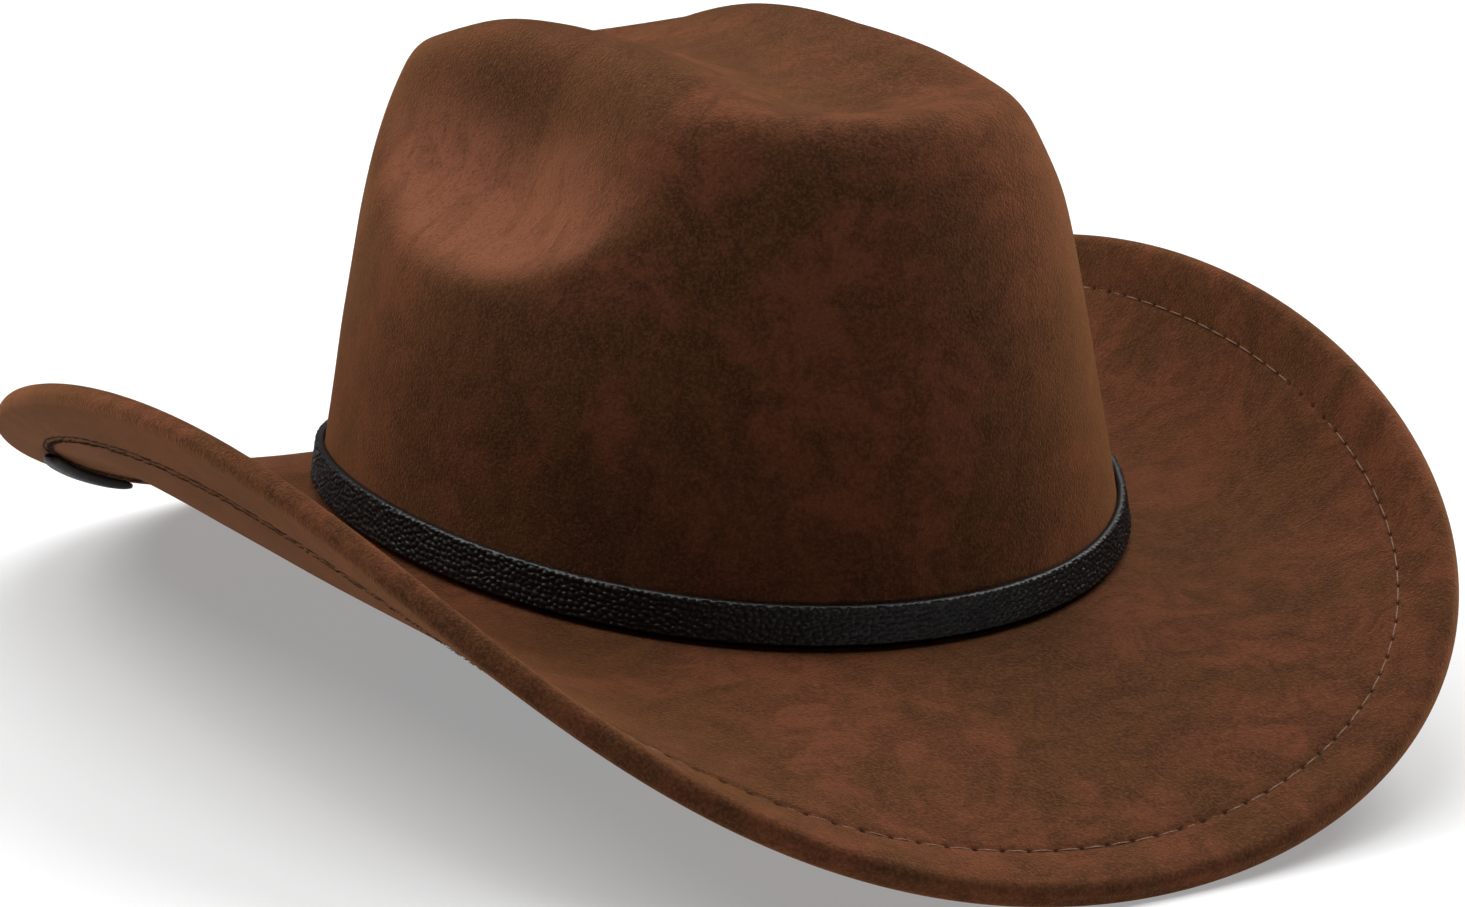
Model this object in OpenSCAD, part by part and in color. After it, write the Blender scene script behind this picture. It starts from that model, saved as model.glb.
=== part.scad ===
// Western felt-style hat with a creased crown, a curled brim and a plain strap band.
// Z is up and the hat stands on the front and back dips of its brim, on z = 0.
// The front of the hat faces -Y and the wearer's left is +X. All sizes are in millimetres.

/* [Brim] */
// Length of the brim from front to back, without the edge roll
brim_length = 366; // [340:1:390]
// Width of the brim across the curled sides, without the edge roll
brim_width = 269; // [258:1:300]
// Height of the curled sides above the front and back dips
brim_lift = 71; // [50:1:85]
// Thickness of the brim with its two covers and its core
brim_thick = 4; // [3.4:0.1:4.4]
// Thickness of one suede cover
cover_t = 0.8; // [0.5:0.1:1]
// Outer diameter of the rolled edge
roll_d = 6.4; // [5.8:0.1:7]
// Distance of the stitching from the middle of the rolled edge
stitch_inset = 10.5; // [9:0.5:16]
// Diameter of the steel hoop in the edge
wire_d = 2.2; // [1.6:0.1:2.4]

/* [Crown] */
// Length of the crown at the brim, front to back
crown_length = 206; // [196:1:214]
// Width of the crown at the brim
crown_width = 174; // [164:1:182]
// Height of the uncreased crown over the floor
crown_top = 164.1; // [157:0.1:171]
// Height of the crown and brim joint at the sides
seat_side = 43.4; // [41:0.1:46]
// Height of the crown and brim joint at the front
seat_front = 35.9; // [34:0.1:40]
// Height of the crown and brim joint at the back
seat_back = 36.2; // [34:0.1:40]
// Depth of the crease along the top
crease_depth = 21; // [10:0.5:23]
// Depth of the two side dents
dent_depth = 26; // [14:0.5:28]
// Thickness of the moulded stiffener inside the crown
stiffener_t = 1.2; // [0.8:0.1:1.6]

/* [Band] */
// Height of the hatband
band_h = 9; // [7:0.5:14]
// Thickness of the hatband
band_t = 2; // [1.2:0.1:2.6]
// Clearance between the hatband and the crown
band_gap = 0.3; // [0.3:0.05:0.6]
// Height of the sweatband inside the crown
sweat_h = 35; // [25:1:38]
// Thickness of the sweatband
sweat_t = 1; // [0.8:0.1:1.4]

/* [Hidden] */

// Stations round the hat, rows up the crown and rows across the brim
around = 72;
crown_rows = 16;
brim_rows = 6;
// Space left between layers that lie on each other
seam_gap = 0.05;

// Wave of the joint of crown and brim, three times round the head
seat_wave = 0.94;

// Crown outline: superellipse shoulder, taper to the top, and the offset of its middle
shoulder_power = 5.5;
taper_side = 0.262;
taper_front = 0.132;
taper_back = 0.059;
crown_y = -2;
// Top surface: fall to the back, rounding and lean, in millimetres over 100 mm
top_fall = 5.8;
top_round = 11.1;
top_lean = 5.6;

// Crease along the top
crease_half_w = 37.1;
crease_low = 0.8;
crease_high = 0.97;
crease_front = -93;
crease_front_run = 45;
crease_back = 121;
crease_back_run = 60;

// Side dents
dent_x = 56.5;
dent_inner = 16.6;
dent_outer = 27;
dent_push = 12.5;
dent_push_from = 40;
dent_push_full = 72;
dent_y = -5;
dent_front_reach = 62;
dent_back_reach = 78;
dent_z = 145;
dent_drop = 41;
dent_power = 1.3;
dent_soft = 0.1;

// Brim plan and section
plan_square = 0.07;
plan_blunt = 0.03;
plan_flare = 2.2;
throat = 1.5;
seat_drop = 0.4;
curl_side = 1.9;
curl_front = 1.47;
curl_back = 1;
sag_side = 3.65;
sag_front = 1.6;
sag_back = 6;
belly = 1.95;
layer_end = 3.4;

// Rolled edge, hoop and ferrule
hem_steps = 8;
hem_flap_short = 0.5;
roll_r = roll_d / 2;
wire_r = wire_d / 2;
channel_r = roll_r - 1.3;
ferrule_r = channel_r - 0.1;
ferrule_span = 4;
ferrule_slit = 12;
mouth = 40;

// Sewing thread and the faces it lies on
thread_w = 0.8;
thread_t = 0.5;
thread_rise = 0.1;
hem_face = brim_thick / 2 + seam_gap + cover_t;

// Strip under the brim: angles, distance from the edge, and section
strip_start = -133;
strip_sweep = -24;
strip_inset = 11;
strip_drift = 4;
strip_w = 4;
strip_t = 2.5;
strip_rise = 0.75;

// Depths of the layers inside the crown, from its outer face
stiffener_face = cover_t + seam_gap;
stiffener_back = stiffener_face + stiffener_t;
tape_t = 0.2;
tape_low = 0.3;
tape_high = 10;
tape_face = stiffener_back + 0.1;
sweat_face = tape_face + tape_t + seam_gap;
sweat_back = sweat_face + sweat_t;
sweat_tuck = 3;
sweat_stitch_z = 1;

// Heights of the strap and its tab over the joint
strap_low = 0.3;
strap_half_gap = 0.6;
tab_t = 1;
tab_margin = 0.5;
tab_face = band_gap + band_t + 0.1;

function unit(v) = v / norm(v);
function ramp(lo, hi, x) = let (t = min(1, max(0, (x - lo) / (hi - lo)))) t * t * (3 - 2 * t);
function station(i, count) = (i + 0.5) * 360 / count;

// Joint of crown and brim, a closed curve round the head
function seat_z(a) =
    let (mean = (seat_front + seat_back + 2 * seat_side) / 4)
    mean + ((seat_front - seat_back) / 2 - seat_wave) * cos(a)
    + ((seat_front + seat_back) / 2 - seat_side) / 2 * cos(2 * a)
    + seat_wave * cos(3 * a);

// Value for the front of the hat blended round to the value for its back
function round_to(front, back, a) = (front * (1 + cos(a)) + back * (1 - cos(a))) / 2;

// Point on the uncreased crown; r falls from 1 at the wall to 0, h rises from 0 to 1
function dome(a, r, h) =
    let (
        x = crown_width / 2 * r * (1 - taper_side * h) * sin(a),
        y = -crown_length / 2 * r * (1 - round_to(taper_front, taper_back, a) * h) * cos(a),
        top = crown_top - (top_lean * x + top_fall * y) / 100 - top_round * pow(y / 100, 2)
    )
    [x, y, seat_z(a) * (1 - h) + top * h];

// Depth of the top crease
function crease(p, h) =
    crease_depth * exp(-pow(p[0] / crease_half_w, 2))
    * ramp(crease_front, crease_front + crease_front_run, p[1])
    * (1 - ramp(crease_back - crease_back_run, crease_back, p[1]))
    * ramp(crease_low, crease_high, h);

// How far the side dents move a point of the crown: inwards and down
function dent(p) =
    let (
        dy = p[1] - dent_y,
        ry = dy / (dy < 0 ? dent_front_reach : dent_back_reach),
        rz = min(p[2] - dent_z, 0) / dent_drop,
        dx = abs(p[0]) - dent_x,
        side = exp(-pow(dx / (dx < 0 ? dent_inner : dent_outer), 2)),
        within = 1 - pow(norm([ry, rz]), dent_power),
        share = (within + norm([within, dent_soft])) / 2,
        push = dent_push * share * ramp(dent_push_from, dent_push_full, abs(p[0]))
    )
    [-sign(p[0]) * push, 0, -dent_depth * side * share];

// Creased crown surface; v runs from 0 at the brim to 1 at the middle of the top
function crown_mid(a, v) =
    let (
        c = cos(90 * v),
        s = sin(90 * v),
        d = pow(pow(abs(c), shoulder_power) + pow(abs(s), shoulder_power), 1 / shoulder_power),
        p = dome(a, c / d, s / d)
    )
    p + dent(p) + [0, crown_y, -crease(p, s / d)];

// Crown surface moved outwards by the distance off
function crown_pt(a, v, off) =
    let (
        p = crown_mid(a, v),
        n = unit(cross(crown_mid(a + 0.5, v) - crown_mid(a - 0.5, v),
            crown_mid(a, v + 0.004) - crown_mid(a, v - 0.004)))
    )
    p + n * off;

// Row of the crown that lies the height h above the joint
function row_at(a, h) = atan(h / (crown_top - seat_z(a))) / 90;

// Middle line of the rolled edge
function edge(a) =
    let (hw = brim_width / 2, hl = brim_length / 2)
    [
        hw * ((1 + plan_square) * sin(a) + plan_square * sin(3 * a)) - plan_flare * sin(2 * a),
        -hl * ((1 + plan_blunt) * cos(a) - plan_blunt * cos(3 * a)),
        roll_r + brim_lift * (1 - cos(2 * a)) / 2
    ];

// Middle surface of the brim; s runs from 0 at the crown to 1 at the rolled edge
function brim_mid(a, s) =
    let (
        e = edge(a),
        side = pow(sin(a), 2),
        j = [(crown_width / 2 - throat) * sin(a), -(crown_length / 2 - throat) * cos(a) + crown_y,
            seat_z(a) - seat_drop - brim_thick / 2],
        curl = round_to(curl_front, curl_back, a) * (1 - side) + curl_side * side,
        sag = round_to(sag_front, sag_back, a) * (1 - side) + sag_side * side,
        hump = 4 * s * (1 - s)
    )
    [
        j[0] + (e[0] - j[0]) * s + belly * side * hump * sign(sin(a)),
        j[1] + (e[1] - j[1]) * s,
        j[2] + (e[2] - j[2]) * pow(max(s, 0), curl) - sag * hump
    ];

function brim_up(a, s) =
    let (q = min(max(s, 0.01), 0.99))
    unit(cross(brim_mid(a, q + 0.01) - brim_mid(a, q - 0.01),
        brim_mid(a + 0.5, q) - brim_mid(a - 0.5, q)));

// Brim surface moved upwards along its normal by the distance off
function brim_pt(a, s, off) = brim_mid(a, s) + brim_up(a, s) * off;

// Share of the way out that leaves the distance d to the rolled edge
function inset(a, d) = 1 - d / norm(brim_mid(a, 1) - brim_mid(a, 0.8)) * 0.2;

// Point in the section of the rolled edge: radius r, angle t from straight outwards
function roll_pt(a, r, t) =
    let (
        up = brim_up(a, 1),
        out = unit(cross(cross(up, brim_mid(a, 1) - brim_mid(a, 0.98)), up))
    )
    edge(a) + out * r * cos(t) + up * r * sin(t);

// Rows of a brim layer, the last one just short of the rolled edge
function layer_s(a, k) =
    k < brim_rows ? k / (brim_rows - 1) * inset(a, stitch_inset) : inset(a, layer_end);

// Closed section of a brim layer between the offsets lo and hi
function layer_section(a, lo, hi) = concat(
    [for (k = [0:brim_rows]) brim_pt(a, layer_s(a, k), hi)],
    [for (k = [brim_rows:-1:0]) brim_pt(a, layer_s(a, k), lo)]);

// Sets a piece down so that the lowest point of the rolled edge is at z = 0
module stand() {
    ground = min([for (i = [0:around - 1], p = hem_section(station(i, around))) p[2]]);
    translate([0, 0, -ground])
        children();
}

// Four-sided face cut into two triangles, along its first diagonal or the other one
function split(p, q, r, s, first) = first ? [[p, q, r], [p, r, s]] : [[p, q, s], [q, r, s]];

// Solid lofted through equal sections, closed into a ring or capped at both ends. The cuts
// turn at the point fold of a section, so that both faces of a thin layer are cut alike.
module loft(sections, ring = true, fold = undef) {
    n = len(sections);
    m = len(sections[0]);
    last = ring ? n - 1 : n - 2;
    turn = is_undef(fold) ? m / 2 : fold;
    halves = [for (i = [0:last], k = [0:m - 1])
        let (j = (i + 1) % n, l = (k + 1) % m)
        each split(i * m + k, i * m + l, j * m + l, j * m + k, k < turn)];
    caps = ring ? [] : [
        [for (k = [m - 1:-1:0]) k],
        [for (k = [0:m - 1]) (n - 1) * m + k]];
    polyhedron(points = [for (s = sections) each s], faces = concat(halves, caps), convexity = 8);
}

// Crown layer between the outward offsets lo and hi, closed over the top
module crown_layer(lo, hi) {
    rows = crown_rows;
    ring_pts = [for (i = [0:around - 1]) let (a = station(i, around)) each concat(
        [for (k = [0:rows - 1]) crown_pt(a, k / rows, hi)],
        [for (k = [rows - 1:-1:0]) crown_pt(a, k / rows, lo)])];
    m = 2 * rows;
    peak = around * m;
    apex = crown_mid(0, 1);
    quads = [for (i = [0:around - 1], k = [0:m - 1])
        if (k != rows - 1)
            let (j = (i + 1) % around, l = (k + 1) % m)
            each split(i * m + k, i * m + l, j * m + l, j * m + k, k < rows)];
    fans = [for (i = [0:around - 1])
        let (j = (i + 1) % around)
        each [[i * m + rows - 1, peak, j * m + rows - 1], [j * m + rows, peak + 1, i * m + rows]]];
    polyhedron(points = concat(ring_pts, [apex + [0, 0, hi], apex + [0, 0, lo]]),
        faces = concat(quads, fans), convexity = 8);
}

// Section beside the crown wall between the offsets lo and hi, at the rising heights zs
function wall_section(a, zs, lo, hi) = concat(
    [for (z = zs) wall_pt(a, z, hi)],
    [for (k = [len(zs) - 1:-1:0]) wall_pt(a, zs[k], lo)]);

// Point beside the crown wall; below the joint it drops straight down
function wall_pt(a, z, off) =
    crown_pt(a, row_at(a, max(z, 0)), off) + [0, 0, min(z, 0)];

module crown_cover() {
    color("#5a3c2e") stand()
        crown_layer(-cover_t, 0);
}

module crown_stiffener() {
    color("#2b2420") stand()
        crown_layer(-stiffener_back, -stiffener_face);
}

// Tape over the joint of crown and brim, behind the sweatband
module crown_seam_tape() {
    color("#1c1c1c") stand()
        loft([for (i = [0:around - 1])
            wall_section(station(i, around), [tape_low, tape_high], -tape_face - tape_t, -tape_face)]);
}

module brim_layer(lo, hi) {
    loft([for (i = [0:around - 1]) layer_section(station(i, around), lo, hi)]);
}

module brim_top_cover() {
    color("#5a3c2e") stand()
        brim_layer(brim_thick / 2 - cover_t, brim_thick / 2);
}

module brim_core() {
    color("#3a332c") stand()
        brim_layer(-brim_thick / 2 + cover_t + seam_gap, brim_thick / 2 - cover_t - seam_gap);
}

module brim_under_cover() {
    color("#5a3c2e") stand()
        brim_layer(-brim_thick / 2, -brim_thick / 2 + cover_t);
}

// Cloth rolled round the hoop and turned under as far as the stitching
function hem_section(a) =
    let (
        flap = inset(a, stitch_inset - hem_flap_short),
        start = inset(a, layer_end),
        face = cover_t - hem_face,
        step = (360 - 2 * mouth) / hem_steps
    )
    concat(
        [for (k = [0:hem_steps]) roll_pt(a, roll_r, 180 - mouth - step * k)],
        [brim_pt(a, start, -hem_face), brim_pt(a, flap, -hem_face),
            brim_pt(a, flap, face), brim_pt(a, start, face)],
        [for (k = [hem_steps:-1:0]) roll_pt(a, channel_r, 180 - mouth - step * k)]);

module brim_edge_hem() {
    color("#5a3c2e") stand()
        loft([for (i = [0:around - 1]) hem_section(station(i, around))], true, hem_steps + 4);
}

module brim_wire() {
    color("#9a9da1") stand()
        loft([for (i = [0:around - 1])
            [for (k = [0:7]) roll_pt(station(i, around), wire_r, -45 * k)]]);
}

// Split sleeve crimped over the ends of the hoop at the back
module wire_ferrule() {
    bore = wire_r + seam_gap;
    sides = 12;
    pitch = (360 - 2 * ferrule_slit) / sides;
    color("#b08d4a") stand()
        loft([for (i = [around / 2 - ferrule_span:around / 2 + ferrule_span - 1])
            let (a = station(i, around))
            concat([for (k = [0:sides]) roll_pt(a, ferrule_r, -ferrule_slit - pitch * k)],
                [for (k = [sides:-1:0]) roll_pt(a, bore, -ferrule_slit - pitch * k)])], false);
}

// Row of thread on the brim at the stitch line, the height low over its middle surface;
// side is 1 above and -1 below
module thread(side, low) {
    high = low + thread_t;
    color("#8a6a4c") stand()
        loft([for (i = [0:around - 1])
            let (
                a = station(i, around),
                s0 = inset(a, stitch_inset + thread_w / 2),
                s1 = inset(a, stitch_inset - thread_w / 2),
                lo = side > 0 ? low : -high,
                hi = side > 0 ? high : -low
            )
            [brim_pt(a, s0, hi), brim_pt(a, s1, hi), brim_pt(a, s1, lo), brim_pt(a, s0, lo)]]);
}

module stitch_thread_top() {
    thread(1, brim_thick / 2 + thread_rise);
}

module stitch_thread_under() {
    thread(-1, hem_face + thread_rise);
}

// Short black strip sewn under the brim near its back right corner
module underbrim_strip() {
    steps = 10;
    face = -hem_face - strip_rise;
    color("#222020") stand()
        loft([for (i = [0:steps])
            let (
                u = i / steps,
                a = strip_start + strip_sweep * u,
                d = strip_inset - strip_drift * ramp(0, 1, u),
                s0 = inset(a, d + strip_w / 2),
                s1 = inset(a, d - strip_w / 2)
            )
            [brim_pt(a, s0, face), brim_pt(a, s1, face),
                brim_pt(a, s1, face - strip_t), brim_pt(a, s0, face - strip_t)]], false);
}

// Strap round the crown; its ends meet at the back
module hatband_strap() {
    back = around / 2;
    stops = concat([180 + strap_half_gap],
        [for (i = [back:back + around - 1]) station(i, around)], [540 - strap_half_gap]);
    color("#1d1d1e") stand()
        loft([for (a = stops)
            wall_section(a, [strap_low, strap_low + band_h], band_gap, band_gap + band_t)], false);
}

// Tab over the joint of the strap at the back
module hatband_joint_tab() {
    low = strap_low + tab_margin;
    high = strap_low + band_h - tab_margin;
    reach = 3;
    color("#1d1d1e") stand()
        loft([for (i = [around / 2 - reach:around / 2 + reach - 1])
            wall_section(station(i, around), [low, high], tab_face, tab_face + tab_t)], false);
}

module sweatband() {
    heights = [-sweat_tuck, 0, sweat_h / 3, sweat_h * 2 / 3, sweat_h];
    color("#1a1a1c") stand()
        loft([for (i = [0:around - 1])
            wall_section(station(i, around), heights, -sweat_back, -sweat_face)]);
}

// Thread that holds the lower edge of the sweatband
module sweatband_thread() {
    face = sweat_back + 2 * seam_gap;
    heights = [sweat_stitch_z, sweat_stitch_z + thread_w];
    color("#3a3a3c") stand()
        loft([for (i = [0:around - 1])
            wall_section(station(i, around), heights, -face - thread_t, -face)]);
}

// Tape over the joint of the sweatband at the back
module sweatband_back_tape() {
    face = sweat_back + 2 * seam_gap;
    reach = 2;
    heights = [sweat_stitch_z + thread_w + 1, sweat_h / 3, sweat_h * 2 / 3, sweat_h - 1];
    color("#2c2c30") stand()
        loft([for (i = [around / 2 - reach:around / 2 + reach - 1])
            wall_section(station(i, around), heights, -face - 2 * tape_t, -face)], false);
}

crown_cover();
crown_stiffener();
crown_seam_tape();
brim_top_cover();
brim_core();
brim_under_cover();
brim_edge_hem();
brim_wire();
wire_ferrule();
stitch_thread_top();
stitch_thread_under();
underbrim_strip();
hatband_strap();
hatband_joint_tab();
sweatband();
sweatband_thread();
sweatband_back_tape();
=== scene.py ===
import math

import bpy
import numpy as np
from mathutils import Matrix, Vector


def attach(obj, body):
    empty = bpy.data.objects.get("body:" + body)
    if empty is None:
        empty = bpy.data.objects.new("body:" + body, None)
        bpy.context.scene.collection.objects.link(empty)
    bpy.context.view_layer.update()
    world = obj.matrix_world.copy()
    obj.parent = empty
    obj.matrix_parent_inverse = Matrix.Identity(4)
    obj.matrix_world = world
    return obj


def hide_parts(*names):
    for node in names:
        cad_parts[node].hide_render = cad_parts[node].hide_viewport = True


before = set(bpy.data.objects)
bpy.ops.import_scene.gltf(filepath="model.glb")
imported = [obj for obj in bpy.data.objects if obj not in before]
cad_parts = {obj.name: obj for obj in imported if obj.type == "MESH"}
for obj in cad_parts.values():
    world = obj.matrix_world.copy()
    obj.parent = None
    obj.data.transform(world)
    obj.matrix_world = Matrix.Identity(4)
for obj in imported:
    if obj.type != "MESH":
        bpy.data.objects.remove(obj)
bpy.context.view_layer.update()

MM = 0.001

# how far every fine mesh is raised so that its rolled edge rests on the floor
GROUND = 0.195

# ---------------------------------------------------------------- sizes
# The fine meshes follow the same surfaces as the CAD, worked out in millimetres.

# brim: middle line of the rolled edge, layers, wire channel, seam
BRIM_W, BRIM_L, BRIM_LIFT = 269.0, 366.0, 71.0
BRIM_T = 4.0
COVER_T = 0.8
ROLL_R = 3.2
CHANNEL_R = 1.9
STITCH_INSET = 10.5
SEAM_GAP = 0.05
HEM_FACE = BRIM_T / 2 + SEAM_GAP + COVER_T

# crown: heights of its foot, outline, taper, fall of the top
SEAT_SIDE, SEAT_FRONT, SEAT_BACK, SEAT_WAVE = 43.4, 35.9, 36.2, 0.94
CROWN_W, CROWN_L, CROWN_TOP = 174.0, 206.0, 164.1
CROWN_Y = -2.0
SHOULDER = 5.5
TAPER_SIDE, TAPER_FRONT, TAPER_BACK = 0.262, 0.132, 0.059
TOP_FALL, TOP_ROUND, TOP_LEAN = 5.8, 11.1, 5.6

# lengthwise crease and side dents of the crown
CREASE_DEPTH, CREASE_HALF = 21.0, 37.1
CREASE_RISE = (0.8, 0.97)
CREASE_FRONT, CREASE_BACK = (-93.0, -48.0), (61.0, 121.0)
DENT_DEPTH, DENT_PUSH = 26.0, 12.5
DENT_X, DENT_Y, DENT_Z = 56.5, -5.0, 145.0
DENT_INNER, DENT_OUTER = 16.6, 27.0
DENT_FRONT, DENT_BACK, DENT_DROP = 62.0, 78.0, 41.0
DENT_PUSH_RISE = (40.0, 72.0)
DENT_POWER, DENT_SOFT = 1.3, 0.1

# plan of the brim and the curl, sag and belly of its section
PLAN_SQUARE, PLAN_BLUNT, PLAN_FLARE = 0.07, 0.03, 2.2
THROAT, SEAT_DROP = 1.5, 0.4
CURL_SIDE, CURL_FRONT, CURL_BACK = 1.9, 1.47, 1.0
SAG_SIDE, SAG_FRONT, SAG_BACK = 3.65, 1.6, 6.0
BELLY = 1.95

# hatband, stiffener and sweatband
BAND_LOW, BAND_H, BAND_T, BAND_GAP = 0.3, 9.0, 2.0, 0.3
STIFFENER_T = 1.2
SWEAT_FACE, SWEAT_T, SWEAT_H, SWEAT_TUCK = 2.4, 1.0, 35.0, 3.0

FULL_TURN = 2 * np.pi


# ---------------------------------------------------------------- shape of the hat
# Angles a are in radians: 0 is the front of the hat, and +90 degrees the wearer's left.


def unit(v):
    tiny = 1e-12
    return v / (np.linalg.norm(v, axis=-1, keepdims=True) + tiny)


def ramp(low, high, x):
    """0 below low, 1 above high, smooth between them."""
    t = np.clip((x - low) / (high - low), 0, 1)
    return t * t * (3 - 2 * t)


def points(x, y, z):
    """One array of points from three arrays of coordinates."""
    return np.stack(np.broadcast_arrays(x, y, z), -1).astype(float)


def round_to(front, back, a):
    """Value for the front of the hat blended round to the value for its back."""
    return (front * (1 + np.cos(a)) + back * (1 - np.cos(a))) / 2


def seat_z(a):
    """Height of the joint of crown and brim."""
    ends = (SEAT_FRONT + SEAT_BACK) / 2
    tilt = (SEAT_FRONT - SEAT_BACK) / 2 - SEAT_WAVE
    arch = (ends - SEAT_SIDE) / 2
    wave = SEAT_WAVE * np.cos(3 * a)
    return (ends + SEAT_SIDE) / 2 + tilt * np.cos(a) + arch * np.cos(2 * a) + wave


def crown_block(a, v):
    """The crown before it is creased and dented, with h from 0 at the brim to 1 on top."""
    c = np.abs(np.cos(np.pi / 2 * v))
    s = np.abs(np.sin(np.pi / 2 * v))
    d = (c ** SHOULDER + s ** SHOULDER) ** (1 / SHOULDER)
    r, h = c / d, s / d
    x = CROWN_W / 2 * r * (1 - TAPER_SIDE * h) * np.sin(a)
    y = -CROWN_L / 2 * r * (1 - round_to(TAPER_FRONT, TAPER_BACK, a) * h) * np.cos(a)
    top = CROWN_TOP - (TOP_LEAN * x + TOP_FALL * y) / 100 - TOP_ROUND * (y / 100) ** 2
    return x, y, seat_z(a) * (1 - h) + top * h, h


def dent_share(y, z):
    """How far into a side dent a spot of the wall lies, 0 outside it and about 1 in its middle."""
    dy = y - DENT_Y
    across = dy / np.where(dy < 0, DENT_FRONT, DENT_BACK)
    down = np.minimum(z - DENT_Z, 0) / DENT_DROP
    within = 1 - np.hypot(across, down) ** DENT_POWER
    return (within + np.hypot(within, DENT_SOFT)) / 2


def crown_mid(a, v):
    """Outer face of the crown; v runs from 0 at the brim to 1 at the middle of the top."""
    x, y, z, h = crown_block(a, v)
    crease = CREASE_DEPTH * np.exp(-(x / CREASE_HALF) ** 2) * ramp(*CREASE_RISE, h)
    crease = crease * ramp(*CREASE_FRONT, y) * (1 - ramp(*CREASE_BACK, y))

    share = dent_share(y, z)
    dx = np.abs(x) - DENT_X
    side = np.exp(-(dx / np.where(dx < 0, DENT_INNER, DENT_OUTER)) ** 2)
    z = z - crease - DENT_DEPTH * side * share
    x = x - np.sign(x) * DENT_PUSH * share * ramp(*DENT_PUSH_RISE, np.abs(x))
    return points(x, y + CROWN_Y, z)


def crown_out(a, v):
    """Direction straight out of the crown."""
    step_a, step_v = 0.008, 0.003
    along = crown_mid(a + step_a, v) - crown_mid(a - step_a, v)
    up = crown_mid(a, v + step_v) - crown_mid(a, v - step_v)
    return unit(np.cross(along, up))


def crown_pt(a, v, off):
    """Point at the distance off outside the crown's outer face."""
    off = np.asarray(off, float)[..., None]
    return crown_mid(a, v) + crown_out(a, v) * off


def wall_pt(a, z, off):
    """Point beside the crown wall, the height z above the joint with the brim."""
    v = np.arctan(np.maximum(z, 0) / (CROWN_TOP - seat_z(a))) / (np.pi / 2)
    p = crown_pt(a, v, off)
    p[..., 2] += np.minimum(z, 0)
    return p


def edge(a):
    """Middle line of the rolled edge."""
    hw, hl = BRIM_W / 2, BRIM_L / 2
    x = hw * ((1 + PLAN_SQUARE) * np.sin(a) + PLAN_SQUARE * np.sin(3 * a))
    y = -hl * ((1 + PLAN_BLUNT) * np.cos(a) - PLAN_BLUNT * np.cos(3 * a))
    z = ROLL_R + BRIM_LIFT * (1 - np.cos(2 * a)) / 2
    return points(x - PLAN_FLARE * np.sin(2 * a), y, z)


def brim_mid(a, s):
    """Middle surface of the brim; s runs from 0 at the crown to 1 at the rolled edge."""
    e = edge(a)
    side = np.sin(a) ** 2
    jx = (CROWN_W / 2 - THROAT) * np.sin(a)
    jy = -(CROWN_L / 2 - THROAT) * np.cos(a) + CROWN_Y
    jz = seat_z(a) - SEAT_DROP - BRIM_T / 2
    curl = round_to(CURL_FRONT, CURL_BACK, a) * (1 - side) + CURL_SIDE * side
    sag = round_to(SAG_FRONT, SAG_BACK, a) * (1 - side) + SAG_SIDE * side
    hump = 4 * s * (1 - s)
    x = jx + (e[..., 0] - jx) * s + BELLY * side * hump * np.sign(np.sin(a))
    y = jy + (e[..., 1] - jy) * s
    z = jz + (e[..., 2] - jz) * np.maximum(s, 0) ** curl - sag * hump
    return points(x, y, z)


def brim_up(a, s):
    """Direction straight up out of the brim."""
    step_a, step_s = 0.008, 0.01
    q = np.clip(s, step_s, 1 - step_s)
    outwards = brim_mid(a, q + step_s) - brim_mid(a, q - step_s)
    along = brim_mid(a + step_a, q) - brim_mid(a - step_a, q)
    return unit(np.cross(outwards, along))


def brim_pt(a, s, off):
    """Point at the distance off above the brim's middle surface."""
    off = np.asarray(off, float)[..., None]
    return brim_mid(a, s) + brim_up(a, s) * off


def brim_reach(a):
    """Length of the brim's section near the edge, per unit of s."""
    outer_part = 0.2
    return np.linalg.norm(brim_mid(a, 1.0) - brim_mid(a, 1.0 - outer_part), axis=-1) / outer_part


def inset(a, d):
    """The s of the place that lies the distance d inside the rolled edge's middle line."""
    return 1 - d / brim_reach(a)


def roll_pt(a, out_by, up_by):
    """Point in the section of the rolled edge, from its middle outwards and upwards."""
    step = 0.02
    up = brim_up(a, 1.0)
    run = brim_mid(a, 1.0) - brim_mid(a, 1.0 - step)
    out = unit(np.cross(np.cross(up, run), up))
    return edge(a) + out * np.asarray(out_by)[..., None] + up * np.asarray(up_by)[..., None]


def even_angles(count):
    """Angles of evenly spaced stations all round, as a column."""
    return (np.arange(count) * FULL_TURN / count)[:, None]


# ---------------------------------------------------------------- small random fields

# odd multipliers that stir the bits of whole numbers
STIR_FIRST = np.uint64(0x9E3779B97F4A7C15)
STIR_LAST = np.uint64(0xBF58476D1CE4E5B9)
KEY_START, KEY_STEP = 0x9E37, 7


def hashed(*ints):
    """Repeatable numbers from 0 to 1 for arrays of whole numbers."""
    h = np.zeros(np.broadcast(*ints).shape, np.uint64)
    for k, i in enumerate(ints):
        whole = np.asarray(i).astype(np.int64).astype(np.uint64)
        h = h ^ (whole + np.uint64(KEY_START + KEY_STEP * k))
        h = h * STIR_FIRST
        h = h ^ (h >> np.uint64(29))
    h = h * STIR_LAST
    h = h ^ (h >> np.uint64(32))
    return (h >> np.uint64(11)).astype(float) / float(1 << 53)


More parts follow.
